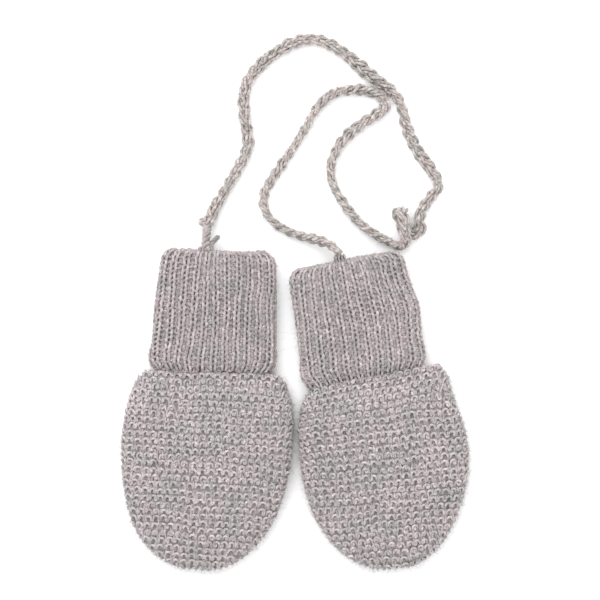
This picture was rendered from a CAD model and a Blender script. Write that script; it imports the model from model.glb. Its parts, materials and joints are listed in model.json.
# %% [markdown]
# # A pair of knitted mittens on a cord
# Everything here is yarn.  Each cuff, hand and cord is made the way a knitter makes it: one yarn
# runs along a row in a wave, and the waves of neighbouring rows hook into each other.  So there are
# two things to describe: the soft shape of each mitten, and the path that a yarn takes over it.
# The CAD frame gives the places of the wrists, mouths and hands, and everything lands on them.

# %% The frame
import json
import bpy
import numpy as np
from math import cos, degrees, pi, radians, sin, sqrt
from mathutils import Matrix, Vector


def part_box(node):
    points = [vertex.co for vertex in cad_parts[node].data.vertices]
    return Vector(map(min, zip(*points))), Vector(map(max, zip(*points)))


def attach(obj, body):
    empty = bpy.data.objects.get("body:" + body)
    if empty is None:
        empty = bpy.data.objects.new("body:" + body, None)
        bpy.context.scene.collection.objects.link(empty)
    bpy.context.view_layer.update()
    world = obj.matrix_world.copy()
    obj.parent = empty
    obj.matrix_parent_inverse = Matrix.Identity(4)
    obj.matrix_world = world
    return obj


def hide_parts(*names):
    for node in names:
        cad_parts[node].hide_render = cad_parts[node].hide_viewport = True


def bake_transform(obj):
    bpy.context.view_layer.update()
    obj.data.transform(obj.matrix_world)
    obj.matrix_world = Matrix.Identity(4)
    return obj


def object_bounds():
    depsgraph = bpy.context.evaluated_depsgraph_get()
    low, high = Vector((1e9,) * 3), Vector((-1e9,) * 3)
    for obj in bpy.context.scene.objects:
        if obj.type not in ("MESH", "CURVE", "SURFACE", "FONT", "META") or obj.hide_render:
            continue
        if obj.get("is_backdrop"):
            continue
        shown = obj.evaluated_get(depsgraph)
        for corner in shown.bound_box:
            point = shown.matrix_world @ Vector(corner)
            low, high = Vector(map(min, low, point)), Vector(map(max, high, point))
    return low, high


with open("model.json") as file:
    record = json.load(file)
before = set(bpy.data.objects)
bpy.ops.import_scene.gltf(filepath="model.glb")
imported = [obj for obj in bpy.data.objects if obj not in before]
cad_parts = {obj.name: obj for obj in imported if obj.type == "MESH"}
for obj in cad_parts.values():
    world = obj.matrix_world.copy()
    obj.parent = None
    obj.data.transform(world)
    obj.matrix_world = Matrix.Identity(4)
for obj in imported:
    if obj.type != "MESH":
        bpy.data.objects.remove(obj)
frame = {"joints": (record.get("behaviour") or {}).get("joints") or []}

CAD_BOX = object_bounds()
MM = 0.001
SIDES = ("left", "right")
random = np.random.default_rng(7)
JOINTS = {joint["name"]: joint for joint in frame["joints"]}

# %% [markdown]
# ## The camera
# The pair is looked at from straight above, from far enough away that the tall parts don't lean.

# %% Camera above the table
VIEW_MIDDLE = (1.9, 47.1)
VIEW_WIDTH = 270.0
CAMERA_HEIGHT = 1500.0
SENSOR_WIDTH = 36.0
CLIP_END = 20.0  # metres

camera_data = bpy.data.cameras.new("camera")
camera_data.sensor_width = SENSOR_WIDTH
camera_data.lens = SENSOR_WIDTH * CAMERA_HEIGHT / VIEW_WIDTH
camera_data.clip_end = CLIP_END
camera = bpy.data.objects.new("camera", camera_data)
camera.location = (VIEW_MIDDLE[0] * MM, VIEW_MIDDLE[1] * MM, CAMERA_HEIGHT * MM)
bpy.context.collection.objects.link(camera)
bpy.context.scene.camera = camera
print("lens", round(camera_data.lens, 1), "mm")

# %% [markdown]
# ## The cord's route
# The cord is a soft plait about 4.6 mm thick that lies where it fell.  Its middle line is a smooth
# NURBS curve.  Its control points stay close to the corners of the CAD tube's route, and every
# strand of the cord is wound round points read back from this curve.

# %% Middle lines as NURBS curves
CORD_ROUTE = [
    (-40.0, 81.9, 4.0), (-37.0, 89.5, 2.6), (-32.4, 96.6, 2.5), (-26.2, 107.7, 2.5),
    (-21.8, 115.6, 2.5), (-22.8, 124.9, 2.5), (-24.4, 133.7, 2.5), (-23.8, 142.9, 2.5),
    (-19.6, 150.7, 2.5), (-10.6, 158.3, 2.5), (-1.4, 163.5, 2.5), (6.8, 165.3, 2.5),
    (15.0, 162.5, 2.5), (24.2, 156.1, 2.5), (33.2, 147.9, 2.5), (41.6, 142.5, 2.5),
    (47.0, 135.7, 2.5), (48.6, 125.7, 2.5), (53.2, 114.9, 2.5), (59.4, 107.3, 2.5),
    (64.8, 98.9, 2.5), (58.6, 92.3, 2.5), (54.2, 85.2, 2.5), (56.0, 77.5, 2.5),
    (48.4, 76.9, 2.5), (45.5, 86.9, 2.5), (46.9, 87.5, 9.0), (48.7, 77.3, 8.6),
    (48.4, 70.2, 2.6), (39.4, 74.3, 2.5), (29.7, 80.1, 2.5), (22.1, 88.5, 2.5),
    (15.6, 99.3, 2.5), (14.6, 107.5, 2.5), (17.2, 115.3, 2.5), (23.4, 122.7, 2.5),
    (31.4, 128.4, 2.5), (39.4, 132.7, 2.5), (39.8, 138.0, 2.5), (32.6, 141.5, 2.5),
    (25.0, 142.2, 2.5), (15.8, 140.7, 2.5), (9.0, 134.7, 2.5), (3.4, 124.3, 2.5),
    (-4.2, 112.1, 2.5), (-12.0, 101.5, 2.5), (-16.4, 92.5, 2.5), (-12.8, 83.5, 2.5),
    (-4.4, 78.1, 2.5), (3.4, 75.6, 3.0), (11.0, 73.9, 6.0), (16.4, 71.6, 9.9),
    (18.8, 67.9, 10.0),
]
LINK_ROUTE = [
    (-40.6, 69.4, 10.0), (-39.9, 74.1, 10.0), (-39.8, 78.7, 4.8), (-39.3, 81.9, 4.2),
]
CORD_SETTLE = (0.7, -0.3, 0.0)  # the soft cord has slid this far from the CAD tube
CURVE_STEPS = 12  # points between two control points
LINE_STEP = 0.5
PATH_STEP = 3.0


def middle_line(name, route):
    """Points, in mm, along a NURBS curve of order 3 whose control points are the route."""
    data = bpy.data.curves.new(name, "CURVE")
    data.dimensions = "3D"
    data.resolution_u = CURVE_STEPS
    spline = data.splines.new("NURBS")
    spline.points.add(len(route) - 1)
    weights = np.ones((len(route), 1))
    spline.points.foreach_set("co", np.hstack([np.array(route) * MM, weights]).ravel())
    spline.order_u = 3
    spline.use_endpoint_u = True
    holder = bpy.data.objects.new(name, data)
    mesh = bpy.data.meshes.new_from_object(holder)
    points = np.empty(len(mesh.vertices) * 3)
    mesh.vertices.foreach_get("co", points)
    bpy.data.objects.remove(holder)
    bpy.data.meshes.remove(mesh)
    return points.reshape(-1, 3) / MM


def evenly(points, step):
    """The same line with points about a step apart, and the distance along it to each of them."""
    gaps = np.linalg.norm(np.diff(points, axis=0), axis=1)
    distance = np.concatenate([[0.0], np.cumsum(gaps)])
    count = max(2, int(round(distance[-1] / step)) + 1)
    wanted = np.linspace(0.0, distance[-1], count)
    return np.stack([np.interp(wanted, distance, points[:, k]) for k in range(3)], axis=1), wanted


cord_line, cord_distance = evenly(middle_line("cord_route", CORD_ROUTE) + CORD_SETTLE, LINE_STEP)
cord_path = evenly(cord_line, PATH_STEP)[0]
print("cord's middle line", round(cord_distance[-1], 1), "mm")

# %% [markdown]
# ## Yarn
# A strand of yarn is a thin tube.  Its line is given as points, and `facing` says which way is out
# of the cloth at each point, so that the tube's ring of corners never twists.  All the strands of a
# piece are made at once as one big array.  The UV map runs along the yarn and round it, in
# millimetres and turns, and the wool material draws its twisted plies on that map.

# %% Tubes of yarn
STRAND_SHIFT = 37.0  # how far one strand's place in the wool pattern is from the last one's
SHEET_UV = 0.7  # the pattern's size on a sheet


def unit(vectors):
    """Vectors scaled to length 1."""
    return vectors / np.maximum(np.linalg.norm(vectors, axis=-1, keepdims=True), 1e-9)


def strands(line, facing, first, radius, corners=6):
    """Tubes round lines that are listed one after another; first marks where each one starts.
    A corner is line + radius * (cos a * out + sin a * aside), with both across the line."""
    count = len(line)
    index = np.arange(count)
    last = np.append(first[1:], True)
    before = np.where(first, index, index - 1)
    after = np.where(last, index, index + 1)
    forward = unit(line[after] - line[before])
    out = unit(facing - forward * np.sum(facing * forward, axis=1, keepdims=True))
    aside = np.cross(forward, out)
    angle = np.arange(corners) * 2 * pi / corners
    reach = np.broadcast_to(np.asarray(radius, float), (count,))[:, None, None]
    c, s = np.cos(angle)[None, :, None], np.sin(angle)[None, :, None]
    ring = c * out[:, None] + s * aside[:, None]
    points = (line[:, None] + reach * ring).reshape(-1, 3)
    here = index[~last][:, None] * corners
    j = np.arange(corners)[None, :]
    k = (j + 1) % corners
    there = here + corners
    quads = np.stack([here + j, here + k, there + k, there + j], axis=2).reshape(-1, 4)
    steps = np.linalg.norm(line - line[before], axis=1)
    along = np.cumsum(steps) + np.cumsum(first) * STRAND_SHIFT
    u_here, u_next = along[~last][:, None], along[after][~last][:, None]
    v_here, v_next = j / corners, (j + 1) / corners
    shape = (len(here), corners)
    corner = lambda u, v: np.stack([np.broadcast_to(u, shape), np.broadcast_to(v, shape)], axis=2)
    uv = np.stack([
        corner(u_here, v_here), corner(u_here, v_next),
        corner(u_next, v_next), corner(u_next, v_here),
    ], axis=2).reshape(-1, 2)
    starts = index[first][:, None] * corners + np.arange(corners)[::-1][None, :]
    ends = index[last][:, None] * corners + np.arange(corners)[None, :]
    caps = np.concatenate([starts, ends])
    return {"points": points, "quads": quads, "uv": uv, "caps": caps}


def slab(grid, out, low, high, closed=False):
    """A thin closed sheet: the grid moved along out by low and by high, joined round its rim."""
    rows, columns = grid.shape[:2]
    points = np.concatenate([(grid + out * high).reshape(-1, 3), (grid + out * low).reshape(-1, 3)])
    i = np.arange(rows - 1)[:, None]
    j = np.arange(columns if closed else columns - 1)[None, :]
    k = (j + 1) % columns
    here, there = i * columns, (i + 1) * columns
    top = np.stack(np.broadcast_arrays(here + j, there + j, there + k, here + k), axis=2)
    top = top.reshape(-1, 4)
    half = rows * columns
    faces = [top, top[:, ::-1] + half]
    for row, flip in ((0, False), (rows - 1, True)):
        a, b = (row * columns + j).ravel(), (row * columns + k).ravel()
        rim = np.stack([a, b, b + half, a + half], axis=1)
        faces.append(rim[:, ::-1] if flip else rim)
    if not closed:
        r = np.arange(rows - 1)
        for column, flip in ((0, True), (columns - 1, False)):
            a, b = r * columns + column, (r + 1) * columns + column
            rim = np.stack([a, b, b + half, a + half], axis=1)
            faces.append(rim[:, ::-1] if flip else rim)
    quads = np.concatenate(faces)
    uv = points[quads.ravel()][:, :2] * SHEET_UV
    return {"points": points, "quads": quads, "uv": uv, "caps": np.zeros((0, 6), int)}


def piece(name, parts, materials):
    """One mesh object from tubes and sheets, each with the number of its material in the list."""
    mesh = bpy.data.meshes.new(name)
    offset, points, faces, uvs, slots = 0, [], [], [], []
    for slot, part in parts:
        points.append(part["points"])
        faces += (part["quads"] + offset).tolist() + (part["caps"] + offset).tolist()
        uvs += [part["uv"], np.zeros((part["caps"].size, 2))]
        slots += [slot] * (len(part["quads"]) + len(part["caps"]))
        offset += len(part["points"])
    mesh.from_pydata(np.concatenate(points) * MM, [], faces)
    mesh.uv_layers.new(name="yarn").data.foreach_set("uv", np.concatenate(uvs).ravel())
    mesh.polygons.foreach_set("material_index", slots)
    mesh.shade_smooth()
    for material in materials:
        mesh.materials.append(material)
    mesh.update()
    thing = bpy.data.objects.new(name, mesh)
    bpy.context.collection.objects.link(thing)
    triangles = sum(len(face) - 2 for face in faces)
    print(name, triangles, "triangles")
    return thing


# %% [markdown]
# ## Loose fibres
# Wool is hairy.  Short fibres leave the yarn at random places and bend over as they go, and they
# soften every outline.  A few are long, most are short, which is how a gamma distribution falls.

# %% Loose fibres
HAIR_SHAPE, HAIR_SCALE = 2.6, 0.55  # their product is the mean length in millimetres
HAIR_RADII = (0.04, 0.032, 0.018)
HAIR_SPREAD = 0.9  # how far a hair leans aside, against its way out
HAIR_CURL = 0.45
HAIR_SAG = 0.25
HAIR_DEPTH = 0.3  # where it leaves the yarn, out from the yarn's middle
HAIR_CLEARANCE = 0.1  # above the table


def fibres(name, line, facing, count, material):
    """Short hairs that leave the yarn at random places: root + s * leave + s^2 * droop."""
    base = random.integers(0, len(line), count)
    length = random.gamma(HAIR_SHAPE, HAIR_SCALE, count)[:, None, None]
    s = np.linspace(0, 1, 3)[None, :, None]
    aside = random.normal(0, 1, (count, 3))
    out = facing[base] * random.uniform(0.1, 1.0, (count, 1))
    leave = unit(out + HAIR_SPREAD * unit(aside))[:, None, :]
    droop = random.normal(0, HAIR_CURL, (count, 3))[:, None, :]
    droop = droop - HAIR_SAG * facing[base][:, None, :]
    root = (line[base] + facing[base] * HAIR_DEPTH)[:, None, :]
    hair = root + length * (s * leave + s**2 * droop)
    hair[..., 2] = np.maximum(hair[..., 2], HAIR_CLEARANCE)
    first = np.zeros((count, 3), bool)
    first[:, 0] = True
    side = np.cross(hair[:, -1] - hair[:, 0], [0.3, 0.5, 0.8])
    side = np.repeat(side[:, None, :], 3, axis=1)
    tubes = strands(
        hair.reshape(-1, 3), side.reshape(-1, 3), first.ravel(), np.tile(HAIR_RADII, count), 3)
    return piece(name, [(0, tubes)], [material])


# %% [markdown]
# ## Wool
# The wool is a melange: light, middle and dark fibres spun together, so its grey changes every few
# millimetres along the yarn and has fine streaks along its plies.  It never shines, but its loose
# fibres catch light at grazing angles, which is what sheen gives.

# %% Wool material
TWIST = 0.22  # turns of the plies in a millimetre
PLIES = 2
PATCH_SIZE = 0.35  # these three are scales of noise, so a small number is a large pattern
STREAK_SIZE = 5.0
CLOUD_SIZE = 105.0
STREAK_STRETCH = 0.12  # how slowly a streak changes along the yarn
PLY_RIDGE = 0.35
BUMP_STRENGTH, BUMP_DISTANCE = 0.7, 0.0006
SHEEN_TINT = (0.95, 0.92, 0.92, 1.0)
DARK_STOP, FLECK_STOP, LIGHT_STOP = 0.36, 0.5, 0.62
COOL_STOP, ROSE_STOP = 0.36, 0.60
COOL, ROSE = (0.84, 0.87, 0.858), (1.0, 0.965, 0.972)


def wool(name, light, dark, fleck):
    """Melange wool: streaks follow the twist of two plies, and the same twist makes the bump."""
    material = bpy.data.materials.new(name)
    material.use_nodes = True
    nodes, links = material.node_tree.nodes, material.node_tree.links
    nodes.clear()

    def new(kind, **settings):
        """A node with these inputs set; an underscore stands for each space in an input's name."""
        node = nodes.new(kind)
        for socket, value in settings.items():
            node.inputs[socket.replace("_", " ")].default_value = value
        return node

    def arithmetic(operation, second=0.5):
        """A node of arithmetic, with its second number."""
        node = nodes.new("ShaderNodeMath")
        node.operation = operation
        node.inputs[1].default_value = second
        return node

    def ramp(lowest, highest, *others):
        """A colour ramp through (position, colour) stops."""
        node = nodes.new("ShaderNodeValToRGB")
        elements = node.color_ramp.elements
        for element, (position, colour) in zip(list(elements), (lowest, highest)):
            element.position = position
            element.color = (*colour, 1.0)
        for position, colour in others:
            elements.new(position).color = (*colour, 1.0)
        return node

    output = nodes.new("ShaderNodeOutputMaterial")
    shader = new("ShaderNodeBsdfPrincipled", Roughness=0.95, Specular_IOR_Level=0.15,
                 Sheen_Weight=0.35, Sheen_Roughness=0.6, Sheen_Tint=SHEEN_TINT)
    links.new(shader.outputs["BSDF"], output.inputs["Surface"])
    uv = nodes.new("ShaderNodeUVMap")
    uv.uv_map = "yarn"
    split = nodes.new("ShaderNodeSeparateXYZ")
    links.new(uv.outputs["UV"], split.inputs["Vector"])

    # Patches a few millimetres long, where the spinner's light and dark fibres lie unevenly.
    patches = new("ShaderNodeTexNoise", Scale=PATCH_SIZE, Detail=3.0, Roughness=0.65)
    patches.noise_dimensions = "1D"
    links.new(split.outputs["X"], patches.inputs["W"])

    # Streaks that wind round the yarn with its twist.
    twist = nodes.new("ShaderNodeCombineXYZ")
    lean = arithmetic("MULTIPLY_ADD", TWIST)
    links.new(split.outputs["X"], lean.inputs[0])
    links.new(split.outputs["Y"], lean.inputs[2])
    slow = arithmetic("MULTIPLY", STREAK_STRETCH)
    links.new(split.outputs["X"], slow.inputs[0])
    links.new(slow.outputs["Value"], twist.inputs["X"])
    links.new(lean.outputs["Value"], twist.inputs["Y"])
    streaks = new("ShaderNodeTexNoise", Scale=STREAK_SIZE, Detail=4.0, Roughness=0.7)
    links.new(twist.outputs["Vector"], streaks.inputs["Vector"])

    # The colour is the mean of the two patterns, read off a ramp of three greys.
    both = arithmetic("ADD")
    links.new(patches.outputs["Fac"], both.inputs[0])
    links.new(streaks.outputs["Fac"], both.inputs[1])
    mean = arithmetic("MULTIPLY", 0.5)
    links.new(both.outputs["Value"], mean.inputs[0])
    greys = ramp((DARK_STOP, dark), (LIGHT_STOP, light), (FLECK_STOP, fleck))
    links.new(mean.outputs["Value"], greys.inputs["Fac"])

    # Clouds about a finger wide, where the grey leans to rose or to a cool green.
    place = nodes.new("ShaderNodeTexCoord")
    clouds = new("ShaderNodeTexNoise", Scale=CLOUD_SIZE, Detail=2.0)
    links.new(place.outputs["Object"], clouds.inputs["Vector"])
    tint = ramp((COOL_STOP, COOL), (ROSE_STOP, ROSE))
    links.new(clouds.outputs["Fac"], tint.inputs["Fac"])
    dyed = nodes.new("ShaderNodeMix")
    dyed.data_type = "RGBA"
    dyed.blend_type = "MULTIPLY"
    dyed.inputs["Factor"].default_value = 1.0
    links.new(greys.outputs["Color"], dyed.inputs["A"])
    links.new(tint.outputs["Color"], dyed.inputs["B"])
    links.new(dyed.outputs["Result"], shader.inputs["Base Color"])

    # Two plies: a ridge that winds round the yarn, with the streaks on top.
    ply = arithmetic("MULTIPLY", 2 * pi * PLIES)
    links.new(lean.outputs["Value"], ply.inputs[0])
    ridge = arithmetic("SINE")
    links.new(ply.outputs["Value"], ridge.inputs[0])
    height = arithmetic("MULTIPLY_ADD", PLY_RIDGE)
    links.new(ridge.outputs["Value"], height.inputs[0])
    links.new(streaks.outputs["Fac"], height.inputs[2])
    bump = new("ShaderNodeBump", Strength=BUMP_STRENGTH, Distance=BUMP_DISTANCE)
    links.new(height.outputs["Value"], bump.inputs["Height"])
    links.new(bump.outputs["Normal"], shader.inputs["Normal"])
    return material


mitten_wool = wool("mitten wool", (0.675, 0.623, 0.625), (0.255, 0.222, 0.225), (0.47, 0.43, 0.432))
rib_wool = wool("rib wool", (0.61, 0.553, 0.558), (0.225, 0.192, 0.198), (0.42, 0.376, 0.381))
cord_wool = wool("cord wool", (0.66, 0.605, 0.58), (0.23, 0.20, 0.185), (0.44, 0.40, 0.38))
core_wool = wool("wool inside the cord", (0.42, 0.38, 0.36), (0.20, 0.18, 0.17), (0.30, 0.27, 0.26))
sewing_wool = wool("sewing wool", (0.50, 0.455, 0.45), (0.18, 0.157, 0.16), (0.32, 0.29, 0.29))
inner_wool = wool("wool inside", (0.40, 0.36, 0.365), (0.20, 0.175, 0.18), (0.29, 0.26, 0.265))
print("materials", [material.name for material in bpy.data.materials])

# %% [markdown]
# ## Laying yarn on a cloth
# A cloth is a grid of points with the direction out of it at each point.  A yarn's path is written
# in the cloth's own rows and columns plus a lift off it, and a place between grid points is a
# weighted mean of the four round it.

# %% Cloths
def outward(grid, away):
    """The unit direction out of a grid of points, on the side that points along away."""
    normal = unit(np.cross(np.gradient(grid, axis=0), np.gradient(grid, axis=1)))
    return normal * np.sign(np.sum(normal * away, axis=-1, keepdims=True) + 1e-12)


def between(table, row, column):
    """Values of a table at fractional rows and columns: the mean of four, weighted by nearness."""
    row = np.clip(row, 0, table.shape[0] - 1.0001)
    column = np.clip(column, 0, table.shape[1] - 1.0001)
    i, j = row.astype(int), column.astype(int)
    a, b = row - i, column - j
    if table.ndim == 3:
        a, b = a[..., None], b[..., None]
    near = table[i, j] * (1 - b) + table[i, j + 1] * b
    far = table[i + 1, j] * (1 - b) + table[i + 1, j + 1] * b
    return near * (1 - a) + far * a


def even_columns(grid, count):
    """The same surface with its columns evenly spaced along each row, and each row's length."""
    gaps = np.linalg.norm(np.diff(grid, axis=1), axis=2)
    distance = np.concatenate([np.zeros((len(grid), 1)), np.cumsum(gaps, axis=1)], axis=1)
    wanted = np.linspace(0, 1, count)
    rows = []
    for line, reach in zip(grid, distance):
        at = wanted * reach[-1]
        rows.append(np.stack([np.interp(at, reach, line[:, k]) for k in range(3)], axis=1))
    return np.array(rows), distance[:, -1]


def turned(points, origin, angle):
    """Points of a mitten's own frame in the object's frame: turned about +Z, then moved."""
    x, y, z = points[..., 0], points[..., 1], points[..., 2]
    return np.stack([
        origin[0] + x * cos(angle) - y * sin(angle),
        origin[1] + x * sin(angle) + y * cos(angle),
        z,
    ], axis=-1)


# %% [markdown]
# ## Where each mitten lies
# The wrist's hinge gives the place of each cuff, and the box of the upper panel gives the place of
# each hand.  A cuff and its hand are turned by slightly different angles.  The oval of the hand is
# turned with it, so its reach along Y is found from both of its half sizes.

# %% Where each mitten lies
CUFF_TURN = {"left": radians(-2.2), "right": radians(10.8)}
HAND_TURN = {"left": radians(-4.3), "right": radians(5.6)}
HAND_HALF = 38.8
HAND_REACH = 57.0
HAND_WIDEST = 32.5
CUFF_LENGTH = 52.6

lay = {}
for side in SIDES:
    wrist = JOINTS[f"{side}_wrist"]
    low, high = (np.array(corner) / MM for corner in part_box(f"{side}_back_panel"))
    turn = HAND_TURN[side]
    reach_y = sqrt((HAND_REACH * cos(turn)) ** 2 + (HAND_HALF * sin(turn)) ** 2)
    middle = np.array([(low[0] + high[0]) / 2, low[1] + reach_y])
    lay[side] = {
        "cuff": np.array(wrist["pos_m"][:2]) / MM,
        "cuff_turn": CUFF_TURN[side],
        "hand": middle + HAND_WIDEST * np.array([-sin(turn), cos(turn)]),
        "hand_turn": turn,
        "outer": -1 if side == "left" else 1,
    }
    cuff_degrees = round(degrees(CUFF_TURN[side]), 1)
    print(side, "cuff turned", cuff_degrees, "wrist at", lay[side]["cuff"].round(1))

# %% [markdown]
# ## The cuff's shape
# The empty cuff is a flattened tube.  It lies flat underneath, its sides are round, its top is a
# little crowned, and it is pinched where it meets the hand and drawn in at the mouth's corners.

# %% Cuff cloth
CUFF_HALF_WIDTHS = (28.7, 27.5, 26.0)
CUFF_HEIGHT = 12.6
LAYER = 3.2
SKIN = LAYER / 2
CUFF_START = 0.2
MOUTH_CORNER = 3.8
MOUTH_SLIP = {"left": 0.4, "right": -0.7}  # how much longer each soft cuff lies than its size
SLACK = {"left": 0.4, "right": 2.0}  # how far the outer edge bulges half way along
SLACK_MIDDLE, SLACK_REACH = 27.0, 9.0
PINCH_REACH = 2.4  # how far from the wrist the pinch is felt
PINCH_WIDTH, PINCH_HEIGHT = 1.9, 0.9
FLARE, FLARE_MIDDLE, FLARE_REACH = 0.6, 6.5, 4.0
INWARD, INWARD_REACH = 0.8, 15.0  # the wrist end lies a little towards the left
CROWN = 0.5
SIDE_ROUND, TOP_ROUND = 0.6, 0.7  # powers below 1 make a section squarer than an ellipse
ANGLES = 400


def cuff_cloth(side):
    """Across the cuff: x = w |cos a|^0.6, z = middle + h |sin a|^0.7, signed, round a whole turn.
    Along it, w is the parabola through the three half widths, w and h dip at the wrist, and w is
    cut by a quarter circle at each corner of the mouth."""
    place = lay[side]
    length = CUFF_LENGTH + MOUTH_SLIP[side]
    y = np.linspace(CUFF_START, length, 70)[:, None]
    angle = np.linspace(0, 2 * pi, ANGLES)[None, :] + (pi if place["outer"] < 0 else 0.0)
    share = (y - CUFF_START) / (length - CUFF_START)
    wrist, middle, mouth = CUFF_HALF_WIDTHS
    from_wrist = wrist * (1 - share) * (1 - 2 * share)
    from_middle = 4 * middle * share * (1 - share)
    width = from_wrist + from_middle + mouth * share * (2 * share - 1)
    pinch = np.exp(-((y - CUFF_START) / PINCH_REACH) ** 2)
    corner = np.clip(MOUTH_CORNER - (length - y), 0, MOUTH_CORNER)
    mouth_draw = MOUTH_CORNER - np.sqrt(MOUTH_CORNER**2 - corner**2)
    flare = FLARE * np.exp(-((y - FLARE_MIDDLE) / FLARE_REACH) ** 2)
    width = width - SKIN - PINCH_WIDTH * pinch - mouth_draw + flare
    crown = CROWN * np.sin(pi * share)
    half = CUFF_HEIGHT / 2 - SKIN + crown - PINCH_HEIGHT * pinch - 0.1 * mouth_draw
    c, s = np.cos(angle), np.sin(angle)
    slack_edge = SLACK[side] * np.exp(-((y - SLACK_MIDDLE) / SLACK_REACH) ** 2)
    slack_edge = slack_edge * (c * place["outer"] > 0) * np.abs(c)
    inward = INWARD * np.exp(-((y / INWARD_REACH) ** 2))
    x = (width + slack_edge) * np.sign(c) * np.abs(c) ** SIDE_ROUND - inward
    z = SKIN + half + half * np.sign(s) * np.abs(s) ** TOP_ROUND
    wave = 0.35 * np.sin(x / 9.0 + y / 13.0 + place["outer"]) + 0.25 * np.sin(x / 5.3 - y / 17.0)
    z = z + wave * (s > 0) * np.sin(pi * share) * np.abs(s)
    grid = np.stack(np.broadcast_arrays(x, y, z), axis=2)
    grid, girth = even_columns(grid, 361)
    centre = np.stack(np.broadcast_arrays(0 * grid[..., 0], grid[..., 1], SKIN + half), axis=2)
    out = outward(grid, grid - centre)
    out[:, 0] = out[:, -1] = unit(out[:, 0] + out[:, -1])
    turn = place["cuff_turn"]
    return turned(grid, place["cuff"], turn), turned(out, (0, 0), turn), girth


for side in SIDES:
    grid, out, girth = cuff_cloth(side)
    print(side, "cuff girth", girth.min().round(1), "to", girth.max().round(1), "mm")

# %% [markdown]
# ## One-by-one rib
# In rib, knit and purl columns take turns.  Along a row the yarn's wave is x = t + a sin 2t across
# and y = h cos t along, which makes the loops, and it dips in and out of the cloth with cos 2t.
# Knit columns dip one way and purl columns the other, so the yarn crosses the cloth between them.
# The elastic yarn pulls the columns together, so knit ones stand out as ribs and purl ones sink.

# %% Rib stitches
RIBS = 23
RIB_ROWS = 24
YARN = 0.63
SAMPLES = 12  # points for one stitch, in rib and in garter stitch
RIB_LEAN, RIB_PAIR = 0.20, 0.19  # how round a loop is, and how near its neighbours it stands
RIB_LOOP = 0.84  # half a loop's height, in rows
RIB_DIP, RIB_STEP = 0.56, 0.60  # how far a loop goes through, and how far knit stands over purl
BACKING = (-0.70, -0.25)  # the inner layer's two faces, from the cloth's middle


def wobble(rows, columns, amount):
    """A table of small random amounts, one for each stitch."""
    return random.normal(0, amount, (rows + 2, columns + 2))


def drift(rows, columns, amount):
    """Slow changes across a cloth: a small table of random amounts, stretched over its stitches."""
    coarse = random.normal(0, amount, (5, 12))
    row = np.linspace(0, 4, rows + 2)[:, None] + np.zeros(columns + 2)
    column = np.linspace(0, 11, columns + 2)[None, :] + np.zeros((rows + 2, 1))
    return between(coarse, row, column)


def rib_yarn(grid, out):
    """All rows of rib on a closed cloth, as one strand for each row."""
    wales = RIBS * 2
    column = np.linspace(-0.5, wales - 0.5, wales * SAMPLES + 1)[None, :]
    row = np.arange(RIB_ROWS)[:, None] + 0.5
    t = 2 * pi * column
    loops = row - 0.5 + 0 * column
    seat = column + 0.5 + 0 * row
    at = lambda table: between(table, loops, seat)
    across = column + RIB_LEAN * np.sin(2 * t) + RIB_PAIR * np.sin(pi * column)
    across = across + at(wobble(RIB_ROWS, wales, 0.08)) + at(drift(RIB_ROWS, wales, 0.28))
    along = row + RIB_LOOP * np.cos(t) + at(wobble(RIB_ROWS, wales, 0.08))
    along = along + at(drift(RIB_ROWS, wales, 0.25))
    knit = np.clip(1.6 * np.cos(t / 2), -1, 1)
    step = RIB_STEP + at(drift(RIB_ROWS, wales, 0.22))
    lift = -knit * RIB_DIP * np.cos(2 * t) + step * np.cos(t / 2)
    lift = lift + at(wobble(RIB_ROWS, wales, 0.10))
    r = along / RIB_ROWS * (grid.shape[0] - 1)
    c = (across + 0.5) / wales * (grid.shape[1] - 1)
    r, c, lift = np.broadcast_arrays(r, c, lift)
    line = between(grid, r, c) + between(out, r, c) * lift[..., None]
    spill = (along - np.clip(along, 0, RIB_ROWS)) * (CUFF_LENGTH / RIB_ROWS)
    direction = unit(grid[-1, 0] - grid[0, 0])
    line = line + direction * spill[..., None]
    first = np.zeros(line.shape[:2], bool)
    first[:, 0] = True
    return line.reshape(-1, 3), between(out, r, c).reshape(-1, 3), first.ravel()


made = {}
for side in SIDES:
    grid, out, _ = cuff_cloth(side)
    line, facing, first = rib_yarn(grid, out)
    backing = slab(grid[:, :-1:4], out[:, :-1:4], *BACKING, closed=True)
    parts = [(0, strands(line, facing, first, YARN, 5)), (1, backing)]
    made[side] = {
        "cuff": piece(f"{side}_ribbed_cuff", parts, [rib_wool, inner_wool]),
        "cuff fuzz": fibres(f"{side}_cuff_fuzz", line, facing, 11000, rib_wool),
    }

# %% [markdown]
# ## The hand's shape
# The hand is two egg-shaped panels, one over the other.  The lower one lies on the table; the upper
# one stands a little over it like a slack cushion.  They meet at the side seams, 6 mm up, and both
# are gathered into the pinch at the wrist.

# %% Hand cloth
SEAM_HEIGHT = 6.0
WRIST_GAP = 0.2
TIP_STRETCH = {"left": 1.1, "right": -0.6}  # how much further each soft tip reaches
TIP_ANGLE = radians(83)
NARROWING, NARROWING_REACH = 2.4, 2.6  # at the wrist
GATHER_REACH = 5.5
THICKNESS, THICKER = 9.0, 7.0  # at the tip, and how much more where the hand is widest
TOP_CURVE, PALM_CURVE = 0.62, 0.42  # powers of the cosine across the hand
TOP_GATHER, PALM_GATHER = 0.52, 0.2  # how much of each layer's height the pinch takes away
CLOTH_ROWS, CLOTH_COLUMNS = 181, 161


def edge_bulge(side, y):
    """How far a hand's outer and inner edges stand out of its oval: soft humps along its length."""
    hump = lambda middle, reach: np.exp(-(((y - middle) / reach) ** 2))
    if side == "left":
        return 1.6 * hump(75, 15), 0.3 * hump(68, 14) + 0.6 * hump(16, 8)
    inner = 1.1 * hump(62, 18) + 0.4 * hump(78, 12) + 0.6 * hump(16, 8)
    return -0.7 - 2.8 * hump(15, 14) - 0.9 * hump(70, 18), inner


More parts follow.
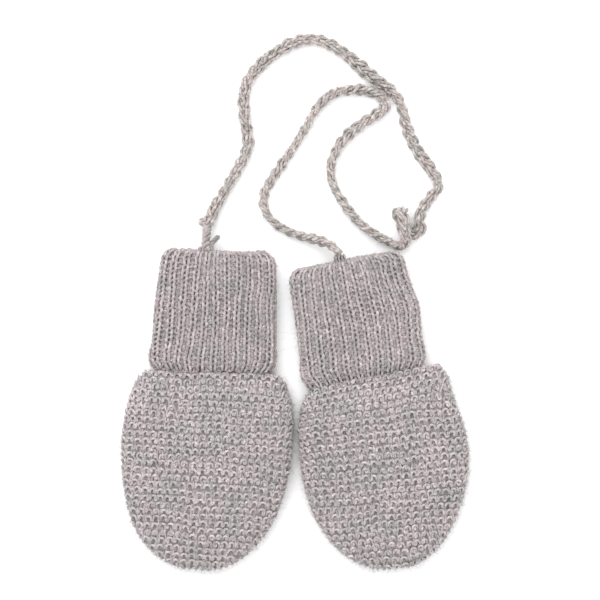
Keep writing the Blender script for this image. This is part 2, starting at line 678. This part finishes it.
def hand_cloth(side, upper):
    """Across: x = w sin a, z = seam +/- h cos(a)^p.  Along: w = 38.8 cos b and y = 32.5 + 57 sin b
    is an oval.  h closes towards the tip as (1 - sin(b)^8)^0.5 and dips at the wrist."""
    place = lay[side]
    start = -np.arcsin((HAND_WIDEST - WRIST_GAP) / HAND_REACH)
    b = np.linspace(start, TIP_ANGLE, 260)[:, None]
    a = np.linspace(-pi / 2, pi / 2, 300)[None, :]
    y = HAND_WIDEST + (HAND_REACH - SKIN + TIP_STRETCH[side] * (b > 0)) * np.sin(b)
    width = (HAND_HALF - SKIN) * np.cos(b) ** np.where(b > 0, 0.9, 1.0)
    pinch = np.exp(-((y - y[0]) / GATHER_REACH) ** 2)
    width = width - NARROWING * np.exp(-((y - y[0]) / NARROWING_REACH) ** 2)
    closing = np.sqrt(np.maximum(1 - np.maximum(np.sin(b), 0) ** 8, 0))
    thickness = THICKNESS + THICKER * np.cos(b)
    if upper:
        tall = (thickness - SKIN - SEAM_HEIGHT) * closing * (1 - TOP_GATHER * pinch)
        power = TOP_CURVE
    else:
        tall = -(SEAM_HEIGHT - SKIN) * closing * (1 - PALM_GATHER * pinch)
        power = PALM_CURVE
    outer_edge, inner_edge = edge_bulge(side, y)
    to_outer = np.clip(np.sin(a) * place["outer"], 0, 1)
    to_inner = np.clip(-np.sin(a) * place["outer"], 0, 1)
    x = width * np.sin(a) + place["outer"] * (outer_edge * to_outer - inner_edge * to_inner)
    z = SEAM_HEIGHT + tall * np.cos(a) ** power
    if upper:
        soft = 0.45 * np.sin(x / 11.0 + y / 15.0 + 2 * place["outer"])
        soft = soft + 0.35 * np.sin(x / 17.0 - y / 9.0)
        z = z + soft * np.cos(a) ** 0.5 * closing * (1 - pinch)
    skew = np.tan(place["cuff_turn"] - place["hand_turn"]) * np.clip(1 - y / 50.0, 0, 1) ** 2
    grid = np.stack(np.broadcast_arrays(x, x * skew - y, z), axis=2)
    grid, reach = even_columns(grid, CLOTH_COLUMNS)
    middle = grid[:, grid.shape[1] // 2]
    gone = np.concatenate([[0], np.cumsum(np.linalg.norm(np.diff(middle, axis=0), axis=1))])
    steps = np.linspace(0, gone[-1], CLOTH_ROWS)
    rows = np.interp(steps, gone, np.arange(len(gone)))
    columns = np.arange(grid.shape[1])[None, :] + 0 * rows[:, None]
    grid = between(grid, rows[:, None] + 0 * columns, columns)
    reach = np.interp(steps, gone, reach)
    out = outward(grid, np.array([0, 0, 1.0 if upper else -1.0]))
    turn = place["hand_turn"]
    return turned(grid, place["hand"], turn), turned(out, (0, 0), turn), steps[-1], reach


# %% [markdown]
# ## Garter stitch
# Garter stitch is the same wave, but here it is the rows that take turns: one row's heads and the
# next row's feet come to the front together and make a ridge.  Half way up each loop the yarn
# passes through the cloth.  The rows sit close, so ridges hide the hollows between them.

# %% Garter stitches
STITCH_WIDTH = 3.6
HAND_YARN = 0.57
ROW_PITCH = 1.56
GARTER_LOOP = 1.1  # half a loop's height, in rows
HAND_BACKING = (-0.55, -0.1)
FUZZ = {"back": 12000, "palm": 5000}


def garter_yarn(grid, out, length, reach):
    """All rows of garter stitch on an open cloth, each as long as the cloth is wide there."""
    rows = int(length / ROW_PITCH)
    row = np.arange(rows)[:, None] + 0.5
    widest = int(np.ceil(reach.max() / STITCH_WIDTH / 2)) + 1
    column = np.linspace(-widest, widest, 2 * widest * SAMPLES + 1)[None, :]
    t = 2 * pi * column
    sign = np.where(np.arange(rows) % 2 == 0, 1.0, -1.0)[:, None]
    through = np.clip(1.5 * np.cos(t), -1, 1)
    slip = random.normal(0, 0.16, (rows, 1))
    loops = row - 0.5 + 0 * column
    seat = column + widest + 0 * row
    at = lambda table: between(table, loops, seat)
    stitches = 2 * widest
    across = column + slip + 0.08 * np.sin(2 * t) - 0.10 * np.sin(t)
    across = across + at(wobble(rows, stitches, 0.09)) + at(drift(rows, stitches, 0.2))
    along = row + GARTER_LOOP * np.cos(t) + at(wobble(rows, stitches, 0.2))
    along = along + at(drift(rows, stitches, 0.4))
    lift = np.where(sign < 0, -0.50 * through - 0.22 * np.cos(t), 0.55 * through - 0.08)
    lift = lift + at(wobble(rows, stitches, 0.18))
    r = along / rows * (grid.shape[0] - 1)
    r = np.clip(r, 0, grid.shape[0] - 1.001)
    grid_rows = np.arange(len(reach))
    half = np.interp(r, grid_rows, reach) / 2
    share = across * STITCH_WIDTH / half
    c = (np.clip(share, -1, 1) + 1) / 2 * (grid.shape[1] - 1)
    row_half = np.interp(row / rows * (grid.shape[0] - 1), grid_rows, reach) / 2
    kept = np.abs(column) * STITCH_WIDTH <= row_half + 0.4
    facing = between(out, r, c)
    line = between(grid, r, c) + facing * lift[..., None]
    first = np.zeros(line.shape[:2], bool)
    first[np.arange(rows), np.argmax(kept, axis=1)] = True
    return line[kept], facing[kept], first[kept]


for side in SIDES:
    for name, upper in (("back", True), ("palm", False)):
        grid, out, length, reach = hand_cloth(side, upper)
        line, facing, first = garter_yarn(grid, out, length, reach)
        every = 4 if upper else -4  # backwards underneath, so that its faces still point out
        backing = slab(grid[::3, ::every], out[::3, ::every], *HAND_BACKING)
        parts = [(0, strands(line, facing, first, HAND_YARN, 5)), (1, backing)]
        made[side][name] = piece(f"{side}_{name}_of_hand", parts, [mitten_wool, inner_wool])
        made[side][name + " fuzz"] = fibres(
            f"{side}_{name}_fuzz", line, facing, FUZZ[name], mitten_wool)
        print(side, name, "length", round(length, 1), "widest", reach.max().round(1))

# %% [markdown]
# ## Edges and seams
# A cast-on edge is a row of yarn twisted round itself, and a seam is sewn over and over along the
# outline.  Both are strands wound round a line, so they come from one function.

# %% Wound edges
EDGE_YARN, EDGE_OFFSET = 0.62, 0.75
SEAM_YARN, SEAM_OFFSET, SEAM_PITCH = 0.6, 1.15, 2.7


def wound(line, out, count, offset, pitch, squash=0.7):
    """Strands wound round a line in its own out and up directions, flatter one way by squash."""
    gaps = np.linalg.norm(np.diff(line, axis=0), axis=1)
    distance = np.concatenate([[0.0], np.cumsum(gaps)])
    turns = round(distance[-1] / pitch)
    steps = np.linspace(0, distance[-1], turns * 9 + 1)
    at = lambda table: np.stack([np.interp(steps, distance, table[:, k]) for k in range(3)], axis=1)
    middle, away = at(line), unit(at(out))
    forward = unit(np.gradient(middle, axis=0))
    beside = np.cross(forward, away)
    lines, outs = [], []
    for strand in range(count):
        angle = (steps / distance[-1] * turns + strand / count) * 2 * pi
        push = away * np.cos(angle)[:, None] * squash + beside * np.sin(angle)[:, None]
        lines.append(middle + offset * push + random.normal(0, 0.06, middle.shape))
        outs.append(push)
    first = np.zeros((count, len(middle)), bool)
    first[:, 0] = True
    return np.concatenate(lines), np.concatenate(outs), first.ravel()


for side in SIDES:
    grid, out, girth = cuff_cloth(side)
    line, facing, first = wound(grid[-1], out[-1], 2, EDGE_OFFSET, girth[-1] / (RIBS * 2))
    tube = strands(line, facing, first, EDGE_YARN, 6)
    made[side]["edge"] = piece(f"{side}_cast_on_edge", [(0, tube)], [rib_wool])
    grid = hand_cloth(side, True)[0]
    rim = np.concatenate([grid[4:, 0], grid[::-1, -1][:-4]])
    centre = grid[60:61, CLOTH_COLUMNS // 2]
    line, facing, first = wound(rim, (rim - centre) * [1, 1, 0], 1, SEAM_OFFSET, SEAM_PITCH)
    tube = strands(line, facing, first, SEAM_YARN, 6)
    made[side]["seam"] = piece(f"{side}_hand_seam", [(0, tube)], [mitten_wool])
    made[side]["seam fuzz"] = fibres(f"{side}_seam_fuzz", line, facing, 3000, mitten_wool)

# %% [markdown]
# ## The cord
# The cord is a plait of three soft strands, and each strand is three yarns.  Seen from the end, a
# strand draws a figure of eight: it swings from side to side once in each pitch while it dips
# under and over twice.  The plait is wider than it is thick and turns slowly, so its width changes.

# %% Plaited cord
PLAIT_PITCH = 15.5  # millimetres for one whole swing of a strand
PLAIT_SWING = 1.5
PLAIT_DIP = 0.8
STRAND_CORE = 0.88
CORD_YARN = 0.66
CORD_TWIST = 90.0  # millimetres for one turn of the whole plait
FOLD_TOP = (46.6, 88.0)  # where the cord is doubled over and spreads
KINK = (63.4, 98.4)  # where it is pulled tight
LOOSE = (24.0, 142.5)  # where the plait is slack
PLY_PITCH = 21.0  # millimetres for one turn of the yarns in a strand
CORE_RADIUS = 0.8


def cord_frame(line):
    """Two directions across a line at each point, carried along it so that they never twist."""
    forward = unit(np.gradient(line, axis=0))
    up = np.array([0.0, 0.0, 1.0])
    ups = [unit(up - forward[0] * np.dot(up, forward[0]))]
    for ahead in forward[1:]:
        ups.append(unit(ups[-1] - ahead * np.dot(ups[-1], ahead)))
    ups = np.array(ups)
    return ups, np.cross(forward, ups)


def plait(line, distance):
    """Nine yarns round the line: side = swing sin p and rise = dip sin 2p for each strand, plus a
    small circle for each of its three yarns, and then the whole is turned slowly about the line."""
    up, aside = cord_frame(line)
    near = lambda spot, size: np.exp(-(np.linalg.norm(line[:, :2] - spot, axis=1) / size) ** 2)
    size = 1 + 0.30 * near(FOLD_TOP, 5.0) - 0.22 * near(KINK, 4.5) + 0.25 * near(LOOSE, 11.0)
    size = size + 0.10 * np.sin(distance / 9.0) * np.sin(distance / 4.1 + 1.0)
    turn = 0.5 * np.sin(distance / CORD_TWIST * 2 * pi) + 0.35 * np.sin(distance / 31.0)
    lines, outs = [], []
    for strand in range(3):
        swing = (distance / PLAIT_PITCH + strand / 3) * 2 * pi
        side_way = PLAIT_SWING * np.sin(swing)
        rise = PLAIT_DIP * np.sin(2 * swing)
        for yarn in range(3):
            angle = (distance / PLY_PITCH + yarn / 3) * 2 * pi
            loose = random.normal(0, 0.14, 60)
            loose = np.interp(distance, np.linspace(0, distance[-1], 60), loose)
            x = (side_way + (STRAND_CORE + loose) * np.cos(angle)) * size
            z = (rise + (STRAND_CORE + loose) * 0.8 * np.sin(angle)) * size
            x, z = x * np.cos(turn) - z * np.sin(turn), x * np.sin(turn) + z * np.cos(turn)
            push = aside * x[:, None] + up * z[:, None]
            yarn_line = line + push
            yarn_line[:, 2] = np.maximum(yarn_line[:, 2], CORD_YARN)
            lines.append(yarn_line)
            outs.append(unit(push))
    first = np.zeros((9, len(line)), bool)
    first[:, 0] = True
    return np.concatenate(lines), np.concatenate(outs), first.ravel()


line, facing, first = plait(cord_line[::2], cord_distance[::2])
start_of_core = np.arange(len(cord_path)) == 0
core = strands(cord_path, cord_frame(cord_path)[0], start_of_core, CORE_RADIUS, 8)
parts = [(0, strands(line, facing, first, CORD_YARN, 5)), (1, core)]
cord = piece("plaited_cord", parts, [cord_wool, core_wool])
cord_fuzz = fibres("cord_fuzz", line, facing, 5000, cord_wool)

# %% [markdown]
# ## Joining the cord
# At the left the cord hangs from the cuff on three thick strands twisted together, with a small
# knot beside them and the sewing yarn's loose end.  At the right it is sewn straight onto the
# mouth.  Stitches wound over the edge hold it at both.

# %% Link, knot and yarn end
LINK_YARN, LINK_OFFSET, LINK_PITCH = 0.9, 1.15, 7.0
TAIL_YARN, TAIL_OFFSET, TAIL_PITCH = 0.66, 0.6, 4.0
TAIL_SETTLE = (-1.2, 0.5, 0.0)  # the loose end lies this far from its CAD piece
KNOT_PLACE = np.array([-42.0, 82.2, 3.6])
KNOT_BALL, KNOT_YARN, KNOT_TURNS, KNOT_POINTS = 1.3, 0.65, 5, 110
STITCH_REACH = 2.7  # how far the sewing goes each way along the mouth
STITCH_POINTS = 12
STITCH_YARN, STITCH_OFFSET, STITCH_PITCH = 0.5, 1.9, 1.35


def twisted(line, count, offset, pitch):
    """Strands wound round a line: offset from it at an angle that turns once in each pitch."""
    even, distance = evenly(line, 0.4)
    up, aside = cord_frame(even)
    lines, outs = [], []
    for strand in range(count):
        angle = (distance / pitch + strand / count) * 2 * pi
        out = up * np.cos(angle)[:, None] + aside * np.sin(angle)[:, None]
        lines.append(even + out * offset)
        outs.append(out)
    first = np.zeros((count, len(even)), bool)
    first[:, 0] = True
    return np.concatenate(lines), np.concatenate(outs), first.ravel()


link_line = middle_line("link_route", LINK_ROUTE)
line, facing, first = twisted(link_line, 3, LINK_OFFSET, LINK_PITCH)
cord_link = piece("cord_link", [(0, strands(line, facing, first, LINK_YARN, 6))], [sewing_wool])

wind = np.linspace(0, 1, KNOT_POINTS)
polar, spin = wind * pi, wind * 2 * pi * KNOT_TURNS
ball = np.stack([np.sin(polar) * np.cos(spin), np.cos(polar), np.sin(polar) * np.sin(spin)], axis=1)
start_of_ball = np.arange(KNOT_POINTS) == 0
tube = strands(KNOT_PLACE + KNOT_BALL * ball, ball, start_of_ball, KNOT_YARN, 6)
knot = piece("cord_knot_yarn", [(0, tube)], [cord_wool])

tail_low, tail_high = (np.array(corner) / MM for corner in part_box("left_yarn_tail"))
tail_line = middle_line("tail_route", [
    (tail_low[0] + 0.9, tail_low[1] - 1.0, tail_high[2] - 0.9),
    (tail_low[0] + 0.9, tail_low[1] + 3.4, tail_high[2] - 0.9),
    (tail_low[0] + 2.6, tail_low[1] + 5.6, tail_high[2] - 1.8),
    (tail_high[0] - 0.6, tail_high[1] - 0.5, tail_low[2] + 0.7),
]) + TAIL_SETTLE
line, facing, first = twisted(tail_line, 3, TAIL_OFFSET, TAIL_PITCH)
yarn_tail = piece("yarn_tail", [(0, strands(line, facing, first, TAIL_YARN, 6))], [sewing_wool])

sewn = {}
for side in SIDES:
    low, high = (np.array(corner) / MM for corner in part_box(f"{side}_cord_anchor"))
    edge = np.array([cos(lay[side]["cuff_turn"]), sin(lay[side]["cuff_turn"]), 0.0])
    reach = np.linspace(-STITCH_REACH, STITCH_REACH, STITCH_POINTS)[:, None]
    over = reach * edge + (low + high) / 2
    upward = np.tile([0.0, 0.0, 1.0], (STITCH_POINTS, 1))
    line, facing, first = wound(over, upward, 1, STITCH_OFFSET, STITCH_PITCH, squash=0.8)
    tube = strands(line, facing, first, STITCH_YARN, 6)
    sewn[side] = piece(f"{side}_sewing_stitches", [(0, tube)], [sewing_wool])
    print(side, "anchor", low.round(1), high.round(1))

# %% [markdown]
# ## Riding on the frame
# Each piece says which body it moves with.  A mitten's pieces are blended from the cuff to the hand
# over a short stretch round the wrist, so that the knitting bends there and never tears.  The cord
# stays where it lies.

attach(cord, "cord")
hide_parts("cord")
for side in SIDES:
    wrist = lay[side]["cuff"]
    turn = lay[side]["cuff_turn"]
    for thing in made[side].values():
        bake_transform(thing)
    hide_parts(f"{side}_cuff", f"{side}_cuff_seam", f"{side}_wrist_join")
    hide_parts(f"{side}_cuff_edge")
    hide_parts(f"{side}_back_panel")
    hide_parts(f"{side}_palm_panel")
    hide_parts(f"{side}_inner_side_seam", f"{side}_outer_side_seam", f"{side}_tip_seam")
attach(cord_fuzz, "cord")
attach(cord_link, "cord")
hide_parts("left_cord_link")
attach(knot, "cord")
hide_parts("cord_knot")
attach(yarn_tail, "left_cuff")
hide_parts("left_yarn_tail")
for side in SIDES:
    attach(sewn[side], f"{side}_cuff")
    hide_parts(f"{side}_cord_anchor")

# %% [markdown]
# ## Floor and light
# The pair lies on white paper under an even white sky.  One large soft lamp behind it gives the
# knitting its faint shadows, which fall towards the hands.

# %% Floor and light
FLOOR_REACH = 3.0
PAPER_WHITE = (0.97, 0.97, 0.97, 1)
SKY_STRENGTH = 1.34
LAMP_PLACE, LAMP_SIZE, LAMP_POWER = (-0.45, 1.2, 1.5), 1.4, 21
LAMP_TARGET = (0, 0.05, 0)

floor_mesh = bpy.data.meshes.new("floor")
corners = [(-1, -1), (1, -1), (1, 1), (-1, 1)]
corners = [(x * FLOOR_REACH, y * FLOOR_REACH, 0) for x, y in corners]
floor_mesh.from_pydata(corners, [], [(0, 1, 2, 3)])
floor = bpy.data.objects.new("floor", floor_mesh)
bpy.context.collection.objects.link(floor)
paper = bpy.data.materials.new("paper")
paper.use_nodes = True
paper_shader = paper.node_tree.nodes["Principled BSDF"]
paper_shader.inputs["Base Color"].default_value = PAPER_WHITE
paper_shader.inputs["Roughness"].default_value = 1.0
floor_mesh.materials.append(paper)
floor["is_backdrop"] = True

world = bpy.data.worlds.new("studio")
world.use_nodes = True
sky = world.node_tree.nodes["Background"]
sky.inputs["Color"].default_value = (1, 1, 1, 1)
sky.inputs["Strength"].default_value = SKY_STRENGTH
bpy.context.scene.world = world
bpy.context.scene.view_settings.view_transform = "Standard"


def softbox(name, place, size, power):
    """A square lamp that faces the middle of the pair."""
    light = bpy.data.lights.new(name, "AREA")
    light.size = size
    light.energy = power
    lamp = bpy.data.objects.new(name, light)
    lamp.location = place
    toward = Vector(LAMP_TARGET) - Vector(place)
    lamp.rotation_euler = toward.to_track_quat("-Z", "Y").to_euler()
    bpy.context.collection.objects.link(lamp)


softbox("key", LAMP_PLACE, LAMP_SIZE, LAMP_POWER)
({"cad_box": [list(map(float, corner)) for corner in CAD_BOX],
           "visual_box": [list(map(float, corner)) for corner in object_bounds()]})
